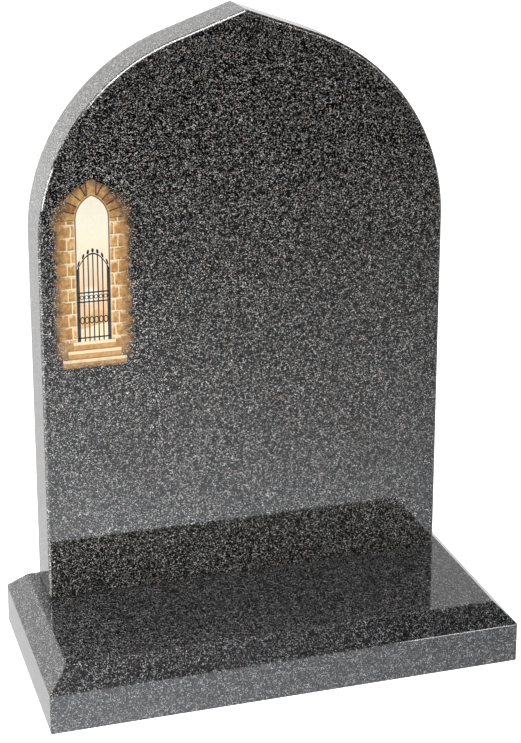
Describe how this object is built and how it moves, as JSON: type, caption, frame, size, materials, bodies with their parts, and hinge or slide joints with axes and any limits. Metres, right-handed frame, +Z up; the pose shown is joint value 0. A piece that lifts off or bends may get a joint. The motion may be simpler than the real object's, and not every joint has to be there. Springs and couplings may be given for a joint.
{
  "type": "headstone",
  "caption": "Polished grey granite lawn headstone: a pointed-arch tablet standing on a base splayed on all sides.",
  "frame": {"origin": "bottom centre of the base, on the ground", "axes": "+Z up; the tablet's face looks along -Y; +X is to the right of someone reading the face"},
  "size_m": [0.61, 0.305, 0.8323],
  "materials": {
    "granite": "polished, fine speckled grey"
  },
  "bodies": {
    "root": {"base": "granite", "tablet": "granite"}
  },
  "joints": []
}
